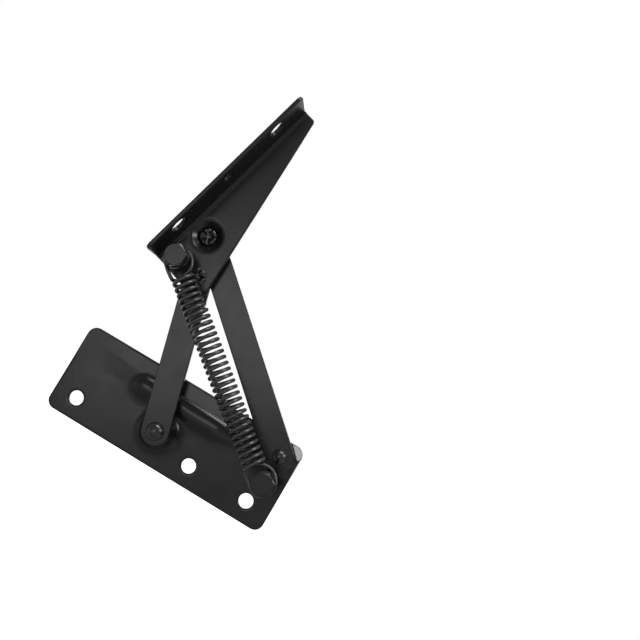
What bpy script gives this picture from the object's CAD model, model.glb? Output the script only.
import math
import bmesh
import bpy
from mathutils import Matrix, Quaternion, Vector


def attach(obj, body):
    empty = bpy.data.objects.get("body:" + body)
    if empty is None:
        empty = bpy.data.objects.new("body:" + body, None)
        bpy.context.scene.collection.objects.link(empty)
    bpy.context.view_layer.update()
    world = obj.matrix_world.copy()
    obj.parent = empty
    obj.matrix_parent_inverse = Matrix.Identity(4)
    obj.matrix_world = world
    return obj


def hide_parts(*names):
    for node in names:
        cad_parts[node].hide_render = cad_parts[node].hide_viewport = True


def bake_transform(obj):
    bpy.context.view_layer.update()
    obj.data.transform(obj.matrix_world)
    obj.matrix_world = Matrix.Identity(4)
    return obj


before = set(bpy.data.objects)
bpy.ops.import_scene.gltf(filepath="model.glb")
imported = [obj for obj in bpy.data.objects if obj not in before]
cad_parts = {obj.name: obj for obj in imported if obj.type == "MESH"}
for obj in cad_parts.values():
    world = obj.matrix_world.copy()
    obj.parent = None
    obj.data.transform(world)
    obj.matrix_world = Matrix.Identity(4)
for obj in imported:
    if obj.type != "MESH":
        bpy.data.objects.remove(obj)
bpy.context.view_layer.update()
print("CAD frame loaded:", len(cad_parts), "nodes")

mm = 0.001

# Pivots and spring bolts seen from the front: x to the right, z up, from the middle screw hole
shortBase = (-20.7, 7.1)
longBase = (35.6, 26.4)
shortTop = (-41.1, 79.3)
longTop = (-47.3, 98.8)
springTop = (-51.7, 82.4)
springBase = (36.2, 13.8)


def at(x, z, height):
    # A point from x, z and the height in front of the plate's back face
    return Vector((x * mm, -height * mm, z * mm))


# Finishes: black powder coat, peened rivets, black oxide bolts and blackened spring wire
coatFinish = {
    "tone": (0.0042, 0.0044, 0.0047),
    "toneShift": 0.3,
    "cloudScale": 38,
    "smearScale": 120,
    "smearSpan": (0.3, 0.7),
    "roughLow": 0.19,
    "roughHigh": 0.25,
    "specular": 0.12,
    "peelScale": 520,
    "peelStrength": 0.05,
    "peelDepth": 0.4,
    "grainScale": 2600,
    "grainStrength": 0.05,
    "grainDepth": 0.1,
}
bracketFinish = dict(coatFinish, roughLow=0.25, roughHigh=0.31)
rivetFinish = dict(coatFinish, roughLow=0.15, specular=0.22, peelScale=900, grainStrength=0.03)
domeFinish = dict(rivetFinish, roughLow=0.23, roughHigh=0.3, specular=0.2)
boltFinish = dict(coatFinish, roughHigh=0.26, peelScale=800)
washerFinish = dict(coatFinish, roughLow=0.36, roughHigh=0.5, specular=0.1, peelScale=700)
wireFinish = dict(coatFinish, roughLow=0.3, roughHigh=0.45, specular=0.3, peelScale=1400, peelStrength=0.08)


def paintedSteel(name, finish, rubbed=None):
    # Satin black: slow changes of tone and gloss, orange peel and a fine grain on top
    material = bpy.data.materials.new(name)
    material.use_nodes = True
    nodes = material.node_tree.nodes
    link = material.node_tree.links.new
    shader = nodes["Principled BSDF"]
    shader.inputs["Specular IOR Level"].default_value = finish["specular"]
    place = nodes.new("ShaderNodeTexCoord")

    def noise(scale, detail):
        texture = nodes.new("ShaderNodeTexNoise")
        texture.inputs["Scale"].default_value = scale
        texture.inputs["Detail"].default_value = detail
        link(place.outputs["Object"], texture.inputs["Vector"])
        return texture.outputs["Fac"]

    def bump(kind, detail):
        relief = nodes.new("ShaderNodeBump")
        relief.inputs["Strength"].default_value = finish[kind + "Strength"]
        relief.inputs["Distance"].default_value = finish[kind + "Depth"] * mm
        link(noise(finish[kind + "Scale"], detail), relief.inputs["Height"])
        return relief

    tone = nodes.new("ShaderNodeMix")
    tone.data_type = "RGBA"
    low = [c * (1 - finish["toneShift"]) for c in finish["tone"]]
    high = [c * (1 + finish["toneShift"]) for c in finish["tone"]]
    tone.inputs["A"].default_value = (*low, 1)
    tone.inputs["B"].default_value = (*high, 1)
    link(noise(finish["cloudScale"], 4), tone.inputs["Factor"])
    link(tone.outputs["Result"], shader.inputs["Base Color"])

    gloss = nodes.new("ShaderNodeMapRange")
    gloss.inputs["From Min"].default_value, gloss.inputs["From Max"].default_value = finish["smearSpan"]
    gloss.inputs["To Min"].default_value = finish["roughLow"]
    gloss.inputs["To Max"].default_value = finish["roughHigh"]
    link(noise(finish["smearScale"], 5), gloss.inputs["Value"])
    rough = gloss.outputs["Result"]
    if rubbed:
        # Handling has rubbed one raised spot smoother than the rest
        away = nodes.new("ShaderNodeVectorMath")
        away.operation = "DISTANCE"
        away.inputs[1].default_value = rubbed["place"]
        link(place.outputs["Object"], away.inputs[0])
        worn = nodes.new("ShaderNodeMapRange")
        worn.inputs["From Min"].default_value = rubbed["inner"] * mm
        worn.inputs["From Max"].default_value = rubbed["outer"] * mm
        worn.inputs["To Min"].default_value = rubbed["share"]
        link(away.outputs["Value"], worn.inputs["Value"])
        product = nodes.new("ShaderNodeMath")
        product.operation = "MULTIPLY"
        link(rough, product.inputs[0])
        link(worn.outputs["Result"], product.inputs[1])
        rough = product.outputs[0]
    link(rough, shader.inputs["Roughness"])

    peel = bump("peel", 2)
    grain = bump("grain", 3)
    link(peel.outputs["Normal"], grain.inputs["Normal"])
    link(grain.outputs["Normal"], shader.inputs["Normal"])
    return material


rubbedCorner = {"place": at(41, 30, 4), "inner": 5, "outer": 7.5, "share": 0.75}
coat = paintedSteel("blackPowderCoat", coatFinish)
bracketCoat = paintedSteel("softPowderCoat", bracketFinish)
plateCoat = paintedSteel("rubbedPowderCoat", coatFinish, rubbedCorner)
rivetBlack = paintedSteel("blackRivetHeads", rivetFinish)
domeBlack = paintedSteel("blackRivetDomes", domeFinish)
boltBlack = paintedSteel("blackOxideBolts", boltFinish)
washerBlack = paintedSteel("blackWashers", washerFinish)
wireBlack = paintedSteel("blackenedSpringWire", wireFinish)
print("finishes ready")


def addPiece(name, bm, material, body, nodeName, sharpAngle=None):
    mesh = bpy.data.meshes.new(name)
    bm.to_mesh(mesh)
    bm.free()
    mesh.materials.append(material)
    mesh.polygons.foreach_set("use_smooth", [True] * len(mesh.polygons))
    if sharpAngle:
        mesh.set_sharp_from_angle(angle=math.radians(sharpAngle))
    piece = bpy.data.objects.new(name, mesh)
    bpy.context.scene.collection.objects.link(piece)
    if body:
        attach(piece, body)
    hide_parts(nodeName)
    return piece


# Pressed sheets: the plain sheet is remeshed finely, and the press's soft bends are worked into it
def remeshed(nodeName, voxel):
    bm = bmesh.new()
    bm.from_mesh(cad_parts[nodeName].data)
    bmesh.ops.remove_doubles(bm, verts=bm.verts, dist=1e-6)
    rough = bpy.data.meshes.new(nodeName + "Rough")
    bm.to_mesh(rough)
    bm.free()
    holder = bpy.data.objects.new(nodeName + "Rough", rough)
    bpy.context.scene.collection.objects.link(holder)
    remesh = holder.modifiers.new("remesh", "REMESH")
    remesh.mode = "VOXEL"
    remesh.voxel_size = voxel * mm
    graph = bpy.context.evaluated_depsgraph_get()
    fine = bpy.data.meshes.new_from_object(holder.evaluated_get(graph))
    bpy.data.objects.remove(holder)
    bm = bmesh.new()
    bm.from_mesh(fine)
    return bm


def ease(share):
    s = max(0, min(1, share))
    return s * s * (3 - 2 * s)


def soften(bm, times, chosen=None):
    verts = bm.verts if chosen is None else [v for v in bm.verts if chosen(v.co)]
    for _ in range(times):
        bmesh.ops.smooth_vert(bm, verts=verts, factor=0.5, use_axis_x=True, use_axis_y=True, use_axis_z=True)


def ringZone(centre, inner, outer):
    # True for points between two radii round a pivot, at any height
    middle = at(*centre, 0)

    def test(co):
        return inner < math.hypot(co.x - middle.x, co.z - middle.z) / mm < outer

    return test


def inBox(co, box):
    # Seen from the front, between left and right and between low and high
    left, right, low, high = box
    return left < co.x / mm < right and low < co.z / mm < high


plateSheet = {
    "voxel": 0.42,
    "inside": (-74.6, 43.6, -8.8, 33.3),
    "screwHoles": (-64, 0, 32),
    "holeMargin": 5,
    "edgeRounding": 3,
    "shortBossFoot": (7.2, 16.5),
    "longBossFoot": (6.6, 12.5),
    "footRounding": 60,
    "linkEnd": 6.2,
    "corner": {"x": 41, "z": 28.8, "reach": 7.5, "lowest": 1.4},
    "cornerSlope": {"start": 5.9, "top": 5.6, "steepness": 0.69, "way": (0.707, 0.707), "foot": 2.6},
    "cornerRounding": 7,
    "pulledBand": {"rise": 0.5, "crest": 27.5, "edge": 34.1, "low": 18, "ends": (-72, -40, 24, 31)},
    "sheetFront": 2.5,
    "frontSideOver": 2.2,
    "ribRidge": (-48, 24, 15, 26.8),
    "ribRounding": 8,
    "lowerFlank": (-48, 24, 11, 19.5),
    "flankRounding": 40,
    "ribEnd": (-51, -34, 12, 31.5),
    "ribEndRounding": 40,
}


def awayFromEdges(co):
    # Away from the outline and the screw holes, so that these keep their place
    if not inBox(co, plateSheet["inside"]):
        return False
    return min(math.hypot(co.x / mm - x, co.z / mm) for x in plateSheet["screwHoles"]) > plateSheet["holeMargin"]


def insideLink(co):
    # Under the long link's round end, where the boss is flat
    return math.hypot(co.x / mm - longBase[0], co.z / mm - longBase[1]) < plateSheet["linkEnd"]


def pressedCorner(co):
    # The corner beside the upper right pivot bulges with its boss
    corner = plateSheet["corner"]
    near = math.hypot(co.x / mm - corner["x"], co.z / mm - corner["z"]) < corner["reach"]
    return co.y < -corner["lowest"] * mm and near and not insideLink(co)


def sinkCorner(bm, slope):
    # From the long link's round end the boss slopes down to the plate's corner
    for v in bm.verts:
        x, z, height = v.co.x / mm, v.co.z / mm, -v.co.y / mm
        out = (x - longBase[0]) * slope["way"][0] + (z - longBase[1]) * slope["way"][1]
        if out > slope["start"] and height > slope["foot"]:
            falling = slope["top"] - slope["steepness"] * (out - slope["start"])
            v.co.y = -max(slope["foot"], min(height, falling)) * mm


def pullBand(bm, band):
    # Pressing the rib has pulled the sheet up a little along the rib's upper side
    left, leftFull, rightFull, right = band["ends"]
    for v in bm.verts:
        x, z, height = v.co.x / mm, v.co.z / mm, -v.co.y / mm
        along = min(ease((x - left) / (leftFull - left)), ease((right - x) / (right - rightFull)))
        above = (band["edge"] - z) / (band["edge"] - band["crest"])
        below = (z - band["low"]) / (band["crest"] - band["low"])
        across = min(above, below)
        if height > plateSheet["frontSideOver"] and across > 0:
            v.co.y = -max(height, plateSheet["sheetFront"] + band["rise"] * along * across) * mm


bm = remeshed("base_plate", plateSheet["voxel"])
shortFoot = ringZone(shortBase, *plateSheet["shortBossFoot"])
longFoot = ringZone(longBase, *plateSheet["longBossFoot"])
soften(bm, plateSheet["edgeRounding"])
soften(bm, plateSheet["footRounding"], lambda co: shortFoot(co) and awayFromEdges(co))
soften(bm, plateSheet["footRounding"], lambda co: longFoot(co) and awayFromEdges(co))
sinkCorner(bm, plateSheet["cornerSlope"])
pullBand(bm, plateSheet["pulledBand"])
soften(bm, plateSheet["cornerRounding"], pressedCorner)
soften(bm, plateSheet["ribRounding"], lambda co: inBox(co, plateSheet["ribRidge"]) and awayFromEdges(co))
soften(bm, plateSheet["flankRounding"], lambda co: inBox(co, plateSheet["lowerFlank"]) and awayFromEdges(co))
soften(bm, plateSheet["ribEndRounding"], lambda co: inBox(co, plateSheet["ribEnd"]))
addPiece("pressedBasePlate", bm, plateCoat, "base", "base_plate")
print("base plate pressed")

bracketSheet = {
    "voxel": 0.36,
    "edgeRounding": 3,
    "holes": (at(-58.97, 95.66, 25.6), at(-42.73, 157.56, 25.6), at(-50.85, 126.61, 25.6)),
    "holeMargin": 6,
    "recess": {"floor": 10.65, "front": 13.6, "wall": (5, 7.4), "dish": (4.5, 7.7)},
    "flange": {"low": (-64.5, 78.5), "angle": math.radians(75.3), "bendEnd": 4, "margin": 0.2, "fade": 1.5},
    "recessZone": (4.9, 9.6),
    "recessRounding": 20,
}


def sinkRecess(bm, recess, flange):
    # The press draws the recess's straight wall out into a wide dish, up to the flange's bend
    depth = recess["front"] - recess["floor"]
    wallStart, wallEnd = recess["wall"]
    dishStart, dishEnd = recess["dish"]
    for v in bm.verts:
        x, z = v.co.x / mm, v.co.z / mm
        out = math.hypot(x - longTop[0], z - longTop[1])
        if dishStart < out < dishEnd:
            wall = max(0, min(1, (out - wallStart) / (wallEnd - wallStart)))
            drawn = (out - dishStart) / (dishEnd - dishStart)
            along, up = x - flange["low"][0], z - flange["low"][1]
            off = along * math.sin(flange["angle"]) - up * math.cos(flange["angle"])
            clear = ease((off - flange["bendEnd"] + flange["margin"]) / flange["fade"])
            v.co.y -= (drawn - wall) * depth * clear * mm


def awayFromHoles(co):
    return min((co - hole).length for hole in bracketSheet["holes"]) > bracketSheet["holeMargin"] * mm


bm = remeshed("armrest_bracket", bracketSheet["voxel"])
soften(bm, bracketSheet["edgeRounding"], awayFromHoles)
sinkRecess(bm, bracketSheet["recess"], bracketSheet["flange"])
soften(bm, bracketSheet["recessRounding"], ringZone(longTop, *bracketSheet["recessZone"]))
addPiece("pressedArmrestBracket", bm, bracketCoat, "bracket_body", "armrest_bracket")
print("armrest bracket pressed")


# Flat links: a stretched disc, drawn out to the sheet's thickness, with a rolled rim
shortLink = {
    "width": 13.6,
    "thickness": 2.5,
    "back": 8.6,
    "rim": 0.4,
    "rimSteps": 4,
    "rimAngle": 1.2,
    "roundSteps": 96,
}
longLink = dict(shortLink, back=5.6)


def flatLink(name, link, start, end, body, nodeName):
    bm = bmesh.new()
    reach = Vector((end[0] - start[0], end[1] - start[1]))
    bmesh.ops.create_circle(bm, cap_ends=True, radius=link["width"] / 2 * mm, segments=link["roundSteps"])
    far = [v for v in bm.verts if v.co.x > 1e-9]
    bmesh.ops.translate(bm, verts=far, vec=(reach.length * mm, 0, 0))
    grown = bmesh.ops.extrude_face_region(bm, geom=bm.faces[:])
    raised = [v for v in grown["geom"] if isinstance(v, bmesh.types.BMVert)]
    bmesh.ops.translate(bm, verts=raised, vec=(0, 0, link["thickness"] * mm))
    rims = [e for e in bm.edges if e.is_manifold and e.calc_face_angle() > link["rimAngle"]]
    bmesh.ops.bevel(
        bm, geom=rims, offset=link["rim"] * mm, segments=link["rimSteps"], profile=0.5, affect="EDGES", material=-1
    )
    bmesh.ops.recalc_face_normals(bm, faces=bm.faces)
    turn = Matrix.Rotation(math.atan2(reach.y, reach.x), 4, "Z")
    upright = Matrix.Rotation(math.radians(90), 4, "X")
    stand = Matrix.Translation(at(*start, link["back"]))
    bmesh.ops.transform(bm, matrix=stand @ upright @ turn, verts=bm.verts)
    piece = addPiece(name, bm, coat, body, nodeName)
    piece.modifiers.new("evenShading", "WEIGHTED_NORMAL").keep_sharp = True


flatLink("shortLinkBar", shortLink, shortBase, shortTop, "short_link_body", "short_link")
flatLink("longLinkBar", longLink, longBase, longTop, "long_link_body", "long_link")
print("links drawn")


# Turned pieces: a half section of radius and height, spun round its pivot
def turnedMesh(section, centre, steps=72):
    bm = bmesh.new()
    corners = [bm.verts.new(at(radius, 0, height)) for radius, height in section]
    for first, second in zip(corners, corners[1:]):
        bm.edges.new((first, second))
    if section[0] != section[-1] and section[0][0] > 0:
        bm.edges.new((corners[-1], corners[0]))
    bmesh.ops.spin(
        bm, geom=bm.verts[:] + bm.edges[:], cent=(0, 0, 0), axis=(0, 1, 0), angle=math.tau, steps=steps, use_merge=True
    )
    bmesh.ops.remove_doubles(bm, verts=bm.verts, dist=1e-6)
    bmesh.ops.dissolve_degenerate(bm, edges=bm.edges, dist=1e-7)
    bmesh.ops.recalc_face_normals(bm, faces=bm.faces)
    bmesh.ops.translate(bm, verts=bm.verts, vec=at(*centre, 0))
    return bm


# Domed rivets: each head is part of a ball on a low straight rim
domedForm = {"shank": 2.5, "underEdge": 0.25, "sideFoot": 0.2, "rim": 0.3, "headSteps": 18, "tailEdge": 0.5}
shortRivet = dict(domedForm, radius=4.3, front=11.15, rise=2.9, tail=4, tailRise=1.8, back=5.6)
longRivet = dict(domedForm, radius=3.6, front=8.15, rise=2.5, tail=3.7, tailRise=1.6, back=2.6)


def capSection(rivet):
    # From the rim up to the crown
    cap = rivet["rise"] - rivet["rim"]
    ball = (rivet["radius"] ** 2 + cap**2) / (2 * cap)
    widest = math.asin(rivet["radius"] / ball)
    slopes = [widest * (1 - i / rivet["headSteps"]) for i in range(rivet["headSteps"])]
    crown = rivet["front"] + rivet["rise"]
    return [(ball * math.sin(slope), crown - ball * (1 - math.cos(slope))) for slope in slopes]


def domedRivet(name, rivet, centre, body, nodeName):
    foot = rivet["back"] - rivet["tailRise"]
    section = [
        (0, foot),
        (rivet["tail"] - rivet["tailEdge"], foot),
        (rivet["tail"], foot + rivet["tailEdge"]),
        (rivet["tail"], rivet["back"]),
        (rivet["shank"], rivet["back"]),
        (rivet["shank"], rivet["front"]),
        (rivet["radius"] - rivet["underEdge"], rivet["front"]),
        (rivet["radius"], rivet["front"] + rivet["sideFoot"]),
        *capSection(rivet),
        (0, rivet["front"] + rivet["rise"]),
    ]
    addPiece(name, turnedMesh(section, centre), domeBlack, body, nodeName, sharpAngle=50)


domedRivet("shortLinkBaseRivetDome", shortRivet, shortBase, "base", "short_link_base_rivet")
domedRivet("longLinkBaseRivetDome", longRivet, longBase, "base", "long_link_base_rivet")

# Star rivets: the peening tool leaves five petals and a sunk centre
starForm = {"shank": 2.5, "underEdge": 0.25, "rim": 0.5, "fullness": 0.7, "headSteps": 30, "tailEdge": 0.4}
lowerStar = dict(starForm, radius=4.5, front=13.65, rise=1.6, tail=3.75, tailRise=1.5, back=8.6)
upperStar = dict(starForm, radius=4.4, front=10.65, rise=1.9, tail=0, back=8.65)
starStrike = {
    "petals": 5,
    "turn": 20,
    "depth": 0.85,
    "grooveWidth": 0.45,
    "grooveStart": 0.8,
    "grooveFade": 0.9,
    "dish": 0.95,
    "crest": 3.2,
    "lowest": 0.15,
    "roundSteps": 120,
}


def domeSection(rivet):
    # From the rim up to the crown; a fullness under 1 squares the shoulder
    base = rivet["front"] + rivet["rim"]
    cap = rivet["rise"] - rivet["rim"]

    def point(angle):
        full = rivet["fullness"]
        return rivet["radius"] * math.cos(angle) ** full, base + cap * math.sin(angle) ** full

    return [point(math.pi / 2 * i / rivet["headSteps"]) for i in range(rivet["headSteps"])]


def strikeStar(bm, centre, star, front):
    middle = at(*centre, 0)
    share = 360 / star["petals"]
    floor = front + star["lowest"]
    for v in bm.verts:
        x, z, height = (v.co.x - middle.x) / mm, (v.co.z - middle.z) / mm, -v.co.y / mm
        if height < floor:
            continue
        out = math.hypot(x, z)
        off = (math.degrees(math.atan2(z, x)) - star["turn"] + share / 2) % share - share / 2
        across = out * math.sin(math.radians(off))
        inner = min(1, max(0, (out - star["grooveStart"]) / star["grooveFade"]))
        groove = star["depth"] * math.exp(-((across / star["grooveWidth"]) ** 2)) * inner
        dish = star["dish"] * max(0, 1 - (out / star["crest"]) ** 2)
        v.co.y = -max(floor, height - groove - dish) * mm


def starRivet(name, rivet, centre, body, nodeName):
    section = [(0, rivet["back"])]
    if rivet["tail"]:
        foot = rivet["back"] - rivet["tailRise"]
        section = [
            (0, foot),
            (rivet["tail"] - rivet["tailEdge"], foot),
            (rivet["tail"], foot + rivet["tailEdge"]),
            (rivet["tail"], rivet["back"]),
        ]
    section += [
        (rivet["shank"], rivet["back"]),
        (rivet["shank"], rivet["front"]),
        (rivet["radius"] - rivet["underEdge"], rivet["front"]),
        *domeSection(rivet),
        (0, rivet["front"] + rivet["rise"]),
    ]
    bm = turnedMesh(section, centre, steps=starStrike["roundSteps"])
    strikeStar(bm, centre, starStrike, rivet["front"])
    addPiece(name, bm, rivetBlack, body, nodeName, sharpAngle=60)


starRivet("shortLinkTopRivetStar", lowerStar, shortTop, "short_link_body", "short_link_top_rivet")
starRivet("longLinkTopRivetStar", upperStar, longTop, "bracket_body", "long_link_top_rivet")

# The rear end of the upper rivet, which rides on the long link
rivetTail = {"radius": 4, "foot": 3.8, "back": 5.6, "front": 8.6, "shank": 2.5, "edge": 0.5}
tailSection = [
    (0, rivetTail["foot"]),
    (rivetTail["radius"] - rivetTail["edge"], rivetTail["foot"]),
    (rivetTail["radius"], rivetTail["foot"] + rivetTail["edge"]),
    (rivetTail["radius"], rivetTail["back"]),
    (rivetTail["shank"], rivetTail["back"]),
    (rivetTail["shank"], rivetTail["front"]),
    (0, rivetTail["front"]),
]
bm = turnedMesh(tailSection, longTop)
addPiece(
    "longLinkTopRivetFoot", bm, rivetBlack, "long_link_body", "long_link_top_rivet_tail", sharpAngle=35
)
print("rivets struck")


# Spring bolts: a hexagon with a turned chamfer and a shank
hexHead = {
    "acrossFlats": 10,
    "height": 4,
    "back": 25.2,
    "turn": 31,
    "cornerCut": 0.12,
    "levels": (0.12, 2.4, 3.2, 3.6),
    "chamferRadius": 4.75,
    "chamferSlope": 0.62,
    "lidInset": 0.25,
    "roundSteps": 96,
}
boltShank = {"radius": 3, "tipEdge": 0.2, "lowerTip": 0, "upperTip": 11.6}


def endFaces(bm, level):
    # The many-sided faces at a level or above it
    return [f for f in bm.faces if len(f.verts) > 6 and f.calc_center_median().z > (level - 0.01) * mm]


def springBolt(name, centre, foot, body, nodeName):
    flat = hexHead["acrossFlats"] / 2
    corner = flat / math.cos(math.radians(30)) - hexHead["cornerCut"]
    bm = bmesh.new()
    bmesh.ops.create_circle(bm, cap_ends=True, radius=1 * mm, segments=hexHead["roundSteps"])
    for v in bm.verts:
        angle = math.degrees(math.atan2(v.co.y, v.co.x))
        off = math.radians((angle - hexHead["turn"]) % 60 - 30)
        v.co *= min(flat / math.cos(off), corner)
    below = 0
    for level in (*hexHead["levels"], hexHead["height"]):
        grown = bmesh.ops.extrude_face_region(bm, geom=endFaces(bm, below))
        cap = [v for v in grown["geom"] if isinstance(v, bmesh.types.BMVert)]
        bmesh.ops.translate(bm, verts=cap, vec=(0, 0, (level - below) * mm))
        below = level
    bmesh.ops.recalc_face_normals(bm, faces=bm.faces)
    lid = endFaces(bm, hexHead["height"])
    bmesh.ops.inset_region(bm, faces=lid, thickness=hexHead["lidInset"] * mm, use_even_offset=True)
    for v in endFaces(bm, hexHead["height"])[0].verts:
        v.co.x, v.co.y = Vector((v.co.x, v.co.y)).normalized() * hexHead["chamferRadius"] * mm
    for v in bm.verts:
        out = math.hypot(v.co.x, v.co.y) / mm
        limit = hexHead["height"] - max(0, out - hexHead["chamferRadius"]) * hexHead["chamferSlope"]
        v.co.z = min(v.co.z, limit * mm)
    stand = Matrix.Translation(at(*centre, hexHead["back"])) @ Matrix.Rotation(math.radians(90), 4, "X")
    bmesh.ops.transform(bm, matrix=stand, verts=bm.verts)
    section = [
        (0, foot),
        (boltShank["radius"] - boltShank["tipEdge"], foot),
        (boltShank["radius"], foot + boltShank["tipEdge"]),
        (boltShank["radius"], hexHead["back"]),
        (0, hexHead["back"]),
    ]
    shank = turnedMesh(section, centre)
    spare = bpy.data.meshes.new(name + "Shank")
    shank.to_mesh(spare)
    shank.free()
    bm.from_mesh(spare)
    addPiece(name, bm, boltBlack, body, nodeName, sharpAngle=22)


# Washers and sleeves round the bolts
boltWasher = {"outer": 6, "bore": 3, "back": 24, "front": 25.2, "edge": 0.25}
lowerSleeve = {"outer": 3.7, "bore": 3.1, "back": 2.55, "front": 23.95, "edge": 0.25}
upperSleeve = dict(lowerSleeve, back=13.6, front=24)


def turnedRing(name, ring, centre, body, nodeName):
    outer, bore, back, front, edge = (ring[key] for key in ("outer", "bore", "back", "front", "edge"))
    section = [
        (bore, back),
        (outer - edge, back),
        (outer, back + edge),
        (outer, front - edge),
        (outer - edge, front),
        (bore + edge, front),
        (bore, front - edge),
    ]
    addPiece(name, turnedMesh(section, centre), boltBlack, body, nodeName, sharpAngle=30)


springBolt("lowerSpringBoltHex", springBase, boltShank["lowerTip"], "base", "lower_spring_bolt")
springBolt("upperSpringBoltHex", springTop, boltShank["upperTip"], "bracket_body", "upper_spring_bolt")
turnedRing("lowerBoltWasherRing", boltWasher, springBase, "base", "lower_bolt_washer")
turnedRing("upperBoltWasherRing", boltWasher, springTop, "bracket_body", "upper_bolt_washer")
turnedRing("lowerSleeveTube", lowerSleeve, springBase, "spring_anchor", "lower_spring_sleeve")
turnedRing("upperSleeveTube", upperSleeve, springTop, "bracket_body", "upper_spring_sleeve")
print("bolts, washers and sleeves turned")


# Tension spring: one wire from loop to loop, wound right-handed, hanging to one side of its bolts
spring = {
    "wire": 1.8,
    "outside": 11.8,
    "sleeve": 3.7,
    "gap": 0.08,
    "shift": 1.2,
    "turns": 32,
    "length": 93.4,
    "height": 21.6,
    "loopSweep": 262,
    "loopEntry": 60,
    "tiltLead": 20,
    "tiltTurn": 70,
    "stepsATurn": 30,
    "stepsALoop": 48,
    "wireRoundness": 4,
}
reach = Vector((springTop[0] - springBase[0], springTop[1] - springBase[1]))
coilRadius = spring["outside"] / 2 - spring["wire"] / 2
play = spring["sleeve"] + spring["gap"] + spring["wire"] / 2
endRun = reach.length / 2 - spring["length"] / 2
loopRadius = (endRun**2 + spring["shift"] ** 2 - play**2) / (2 * (endRun - play))
halfTurn = spring["turns"] / 2 * 360


def wirePoint(angle):
    # Along the body from its middle, across it, and towards the front
    past = angle - halfTurn
    moved = ease(past / spring["loopEntry"])
    tilt = math.radians(90 * ease((past + spring["tiltLead"]) / spring["tiltTurn"]))
    radius = coilRadius + (loopRadius - coilRadius) * moved
    along = spring["length"] / 2 * min(1, angle / halfTurn) + loopRadius * moved
    turn = math.radians(angle)
    sideways = radius * math.sin(turn)
    across = radius * math.cos(turn) + spring["shift"]
    return Vector((along + sideways * math.sin(tilt), across, sideways * math.cos(tilt)))


bodySteps = spring["turns"] // 2 * spring["stepsATurn"]
loopSteps = round(spring["stepsALoop"] * spring["loopSweep"] / 360)
angles = [i * 360 / spring["stepsATurn"] for i in range(1, bodySteps + 1)]
angles += [halfTurn + i * spring["loopSweep"] / loopSteps for i in range(1, loopSteps + 1)]
upperHalf = [wirePoint(a) for a in angles]
lowerHalf = [Vector((-p.x, p.y, -p.z)) for p in reversed(upperHalf)]
wireLine = lowerHalf + [wirePoint(0)] + upperHalf
bearing = Matrix.Rotation(math.atan2(reach.y, reach.x), 3, "Z")
middle = ((springTop[0] + springBase[0]) / 2, (springTop[1] + springBase[1]) / 2)

wireCurve = bpy.data.curves.new("springWireLine", "CURVE")
wireCurve.dimensions = "3D"
wireCurve.twist_mode = "MINIMUM"
wireCurve.bevel_depth = spring["wire"] / 2 * mm
wireCurve.bevel_resolution = spring["wireRoundness"]
wireCurve.use_fill_caps = True
line = wireCurve.splines.new("POLY")
line.points.add(len(wireLine) - 1)
for point, step in zip(line.points, wireLine):
    turned = bearing @ step
    point.co = (*at(middle[0] + turned.x, middle[1] + turned.y, spring["height"] + turned.z), 1)
holder = bpy.data.objects.new("springWireLine", wireCurve)
bpy.context.scene.collection.objects.link(holder)
graph = bpy.context.evaluated_depsgraph_get()
wireMesh = bpy.data.meshes.new_from_object(holder.evaluated_get(graph))
bpy.data.objects.remove(holder)
bm = bmesh.new()
bm.from_mesh(wireMesh)
bmesh.ops.remove_doubles(bm, verts=bm.verts, dist=1e-6)
bmesh.ops.recalc_face_normals(bm, faces=bm.faces)
woundSpring = addPiece("woundTensionSpring", bm, wireBlack, None, "tension_spring", sharpAngle=60)
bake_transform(woundSpring)
print("spring wound:", len(woundSpring.data.polygons), "faces")

# The thin pivot washers keep their CAD form
for nodeName in ("short_link_base_washer", "long_link_base_washer", "short_link_top_washer", "long_link_top_washer"):
    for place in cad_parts[nodeName].material_slots:
        place.material = washerBlack

# Floor and surroundings
studio = {
    "floorDrop": 260,
    "floorSize": 6,
    "floorTone": (0.53, 0.53, 0.53),
    "floorRoughness": 0.9,
    "floorGlow": (0, 1),
    "glowReach": (0.3, 0.8),
    "skyLight": 0.2,
}


def whiteToView(tree, plain, white):
    # White to the eye and in reflections, and the plain finish for the light that it gives
    path = tree.nodes.new("ShaderNodeLightPath")
    either = path.outputs["Is Camera Ray"]
    for ray in ("Is Glossy Ray", "Is Transmission Ray"):
        most = tree.nodes.new("ShaderNodeMath")
        most.operation = "MAXIMUM"
        tree.links.new(either, most.inputs[0])
        tree.links.new(path.outputs[ray], most.inputs[1])
        either = most.outputs[0]
    mix = tree.nodes.new("ShaderNodeMixShader")
    tree.links.new(either, mix.inputs["Fac"])
    tree.links.new(plain, mix.inputs[1])
    tree.links.new(white, mix.inputs[2])
    return mix.outputs[0]


bm = bmesh.new()
bmesh.ops.create_grid(bm, x_segments=1, y_segments=1, size=studio["floorSize"] / 2)
bmesh.ops.translate(bm, verts=bm.verts, vec=(0, 0, -studio["floorDrop"] * mm))
floorMesh = bpy.data.meshes.new("studioFloor")
bm.to_mesh(floorMesh)
bm.free()
floor = bpy.data.objects.new("studioFloor", floorMesh)
bpy.context.scene.collection.objects.link(floor)
paleFloor = bpy.data.materials.new("paleFloor")
paleFloor.use_nodes = True
tree = paleFloor.node_tree
link = tree.links.new
matt = tree.nodes["Principled BSDF"]
matt.inputs["Base Color"].default_value = (*studio["floorTone"], 1)
matt.inputs["Roughness"].default_value = studio["floorRoughness"]
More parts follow.
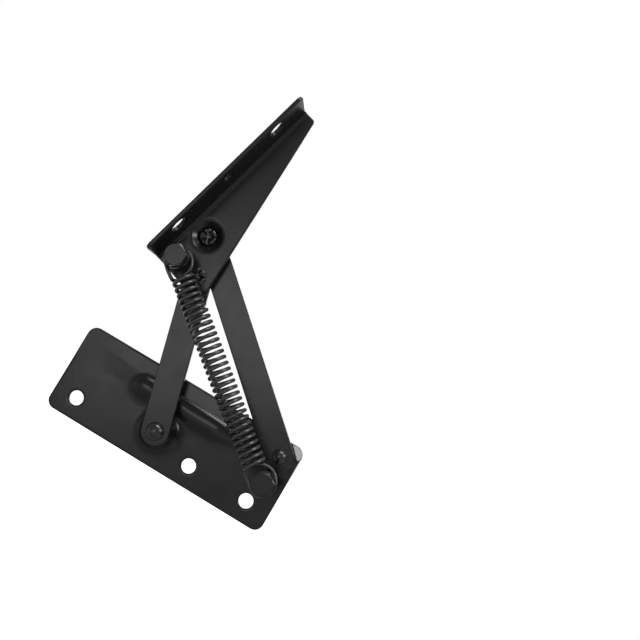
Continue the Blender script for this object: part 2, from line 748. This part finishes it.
# A glow that rises with distance lifts the far floor to white and leaves the shadow near the hinge
place = tree.nodes.new("ShaderNodeTexCoord")
away = tree.nodes.new("ShaderNodeVectorMath")
away.operation = "LENGTH"
link(place.outputs["Object"], away.inputs[0])
rising = tree.nodes.new("ShaderNodeMapRange")
rising.inputs["From Min"].default_value, rising.inputs["From Max"].default_value = studio["glowReach"]
rising.inputs["To Min"].default_value, rising.inputs["To Max"].default_value = studio["floorGlow"]
link(away.outputs["Value"], rising.inputs["Value"])
glow = tree.nodes.new("ShaderNodeEmission")
link(rising.outputs["Result"], glow.inputs["Strength"])
lifted = tree.nodes.new("ShaderNodeAddShader")
link(matt.outputs["BSDF"], lifted.inputs[0])
link(glow.outputs[0], lifted.inputs[1])
link(whiteToView(tree, matt.outputs["BSDF"], lifted.outputs[0]), tree.nodes["Material Output"].inputs["Surface"])
floorMesh.materials.append(paleFloor)

world = bpy.data.worlds.new("studioSurround")
bpy.context.scene.world = world
world.use_nodes = True
tree = world.node_tree
sky = tree.nodes["Background"]
sky.inputs["Color"].default_value = (1, 1, 1, 1)
sky.inputs["Strength"].default_value = studio["skyLight"]
white = tree.nodes.new("ShaderNodeBackground")
white.inputs["Color"].default_value = (1, 1, 1, 1)
shown = whiteToView(tree, sky.outputs["Background"], white.outputs[0])
tree.links.new(shown, tree.nodes["World Output"].inputs["Surface"])

# Soft lamps, each a way and a distance from the middle of the hinge
aim = Vector((-0.01, -0.01, 0.07))
lamps = {
    "frontSoftbox": {"way": (-0.198, -0.98, 0.016), "far": 1.4, "size": (0.62, 0.38), "power": 4.7, "roll": 30},
    "upperSoftbox": {"way": (-0.02, -0.43, 0.9), "far": 1.3, "size": (0.9, 0.3), "power": 24, "roll": 0},
    "rightSoftbox": {"way": (0.7, -0.42, 0.58), "far": 1.3, "size": (0.45, 0.3), "power": 17, "roll": 0},
    "rearSoftbox": {"way": (0.12, 0.88, 0.46), "far": 1.5, "size": (0.9, 0.5), "power": 9, "roll": 0},
}
for label, lamp in lamps.items():
    light = bpy.data.lights.new(label, "AREA")
    light.shape = "RECTANGLE"
    light.size, light.size_y = lamp["size"]
    light.energy = lamp["power"]
    holder = bpy.data.objects.new(label, light)
    way = Vector(lamp["way"]).normalized()
    holder.location = aim + way * lamp["far"]
    rolled = Quaternion((0, 0, 1), math.radians(lamp["roll"]))
    holder.rotation_euler = (way.to_track_quat("Z", "Y") @ rolled).to_euler()
    bpy.context.scene.collection.objects.link(holder)
print("studio lit")

# Camera at the photograph's view
shot = {
    "place": (0.05417, -0.39728, 0.05985),
    "turn": (95.36019, -30.41205, 2.40204),
    "lens": 46.35,
    "sensor": 36,
    "nearest": 0.01,
}
cameraData = bpy.data.cameras.new("photoCamera")
cameraData.lens = shot["lens"]
cameraData.sensor_width = shot["sensor"]
cameraData.clip_start = shot["nearest"]
camera = bpy.data.objects.new("photoCamera", cameraData)
camera.location = shot["place"]
camera.rotation_euler = [math.radians(a) for a in shot["turn"]]
bpy.context.scene.collection.objects.link(camera)
bpy.context.scene.camera = camera
bpy.context.scene.view_settings.view_transform = "Standard"
